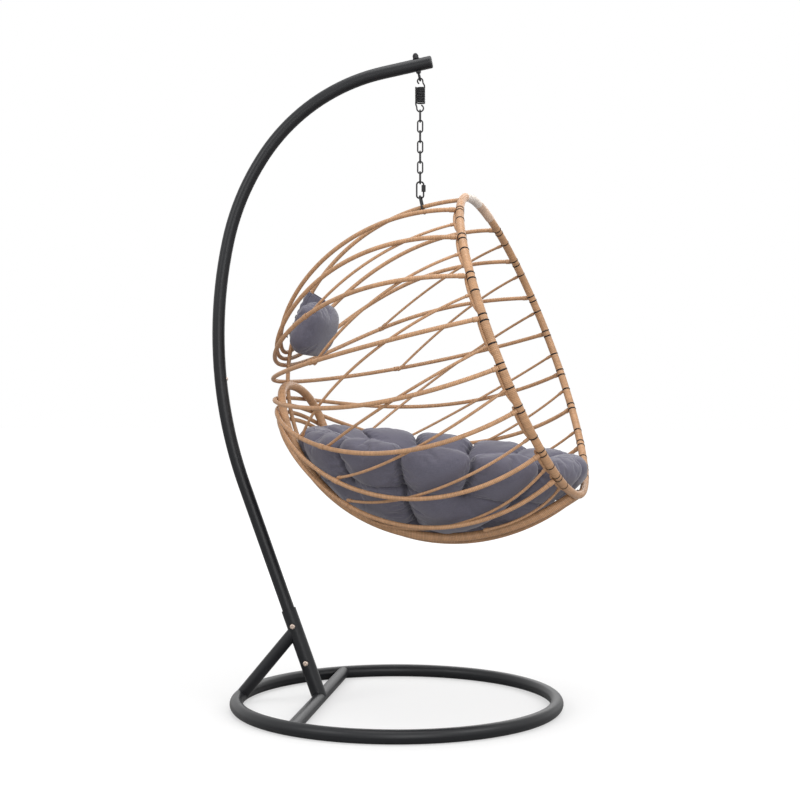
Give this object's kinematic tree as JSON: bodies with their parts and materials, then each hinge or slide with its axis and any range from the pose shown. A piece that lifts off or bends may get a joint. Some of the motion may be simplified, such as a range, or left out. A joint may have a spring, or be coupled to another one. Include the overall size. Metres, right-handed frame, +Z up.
{
  "type": "hanging egg chair",
  "caption": "Woven-look rod basket chair that hangs by a spring and chain from a curved arm on a round base ring, with seat and headrest cushions.",
  "frame": {"origin": "centre of the base ring, on the floor", "axes": "+X from the arm's foot towards the chair's front, +Z up"},
  "size_m": [1.1435, 1.0391, 1.9671],
  "materials": {
    "stand_paint": "satin black powder coat",
    "plated_steel": "zinc plated",
    "cap_plastic": "matt black",
    "black_hardware": "satin black",
    "wrapped_cane": "flat synthetic cane wound round rods",
    "slate_fabric": "woven polyester",
    "black_tape": "woven tape"
  },
  "bodies": {
    "stand": {"base_ring": "stand_paint", "crossbar": "stand_paint", "socket_tube": "stand_paint", "brace_tube": "stand_paint", "lower_arm": "stand_paint", "upper_arm": "stand_paint", "arm_joint_sleeve": "stand_paint", "arm_joint_screw": "plated_steel", "arm_end_cap": "cap_plastic", "socket_bolts": "plated_steel", "socket_washers": "plated_steel", "socket_nuts": "plated_steel", "eye_bolt": "black_hardware", "eye_bolt_washer": "black_hardware", "eye_bolt_cap_nut": "black_hardware"},
    "spring": {"spring": "black_hardware"},
    "link_1": {"chain_link_1": "black_hardware"},
    "chain": {"chain_link_2": "black_hardware", "chain_link_3": "black_hardware", "chain_link_4": "black_hardware", "chain_link_5": "black_hardware", "chain_link_6": "black_hardware", "chain_link_7": "black_hardware"},
    "quick_link": {"quick_link": "black_hardware"},
    "quick_sleeve": {"quick_link_sleeve": "black_hardware"},
    "basket": {"mouth_rim": "wrapped_cane", "back_arch": "wrapped_cane", "crown_rod": "wrapped_cane", "keel_rod": "wrapped_cane", "hoop_1": "wrapped_cane", "hoop_2": "wrapped_cane", "hoop_3": "wrapped_cane", "hoop_4": "wrapped_cane", "hoop_5": "wrapped_cane", "hoop_6": "wrapped_cane", "hoop_7": "wrapped_cane", "hoop_8": "wrapped_cane", "slim_rods_1": "wrapped_cane", "slim_rods_2": "wrapped_cane", "slim_rods_3": "wrapped_cane", "slim_rods_4": "wrapped_cane", "slim_rods_5": "wrapped_cane", "slim_rods_6": "wrapped_cane", "slim_rods_7": "wrapped_cane", "slim_rods_8": "wrapped_cane", "hanger_staple": "black_hardware", "hanger_plate": "black_hardware", "hanger_nuts": "black_hardware", "seat_cushion": "slate_fabric", "headrest_pillow": "slate_fabric", "headrest_flap": "slate_fabric", "headrest_ties": "black_tape"}
  },
  "joints": [
    {"name": "swing_fore_aft", "type": "hinge", "parent": "stand", "child": "spring", "pos_m": [0.07138, 0, 1.88447], "axis": [0, 1, 0], "range_deg": [-10, 4]},
    {"name": "bounce", "type": "slide", "parent": "spring", "child": "link_1", "axis": [0, 0, -1], "range_m": [0, 0.03], "stiffness_N_per_m": 25000, "springref_m": -0.02, "deforming": ["spring"]},
    {"name": "swing_sideways", "type": "hinge", "parent": "link_1", "child": "chain", "pos_m": [0.07138, 0, 1.76407], "axis": [1, 0, 0], "range_deg": [-8, 8]},
    {"name": "swivel", "type": "hinge", "parent": "chain", "child": "quick_link", "pos_m": [0.07138, 0, 1.57892], "axis": [0, 0, 1], "range_deg": [-30, 30]},
    {"name": "rock", "type": "hinge", "parent": "quick_link", "child": "basket", "pos_m": [0.07138, 0, 1.53622], "axis": [0.1461, 0.9893, 0], "range_deg": [-5, 5]},
    {"name": "sleeve_turn", "type": "slide", "parent": "quick_link", "child": "quick_sleeve", "axis": [0, 0, -1], "range_m": [0, 0.009]}
  ]
}
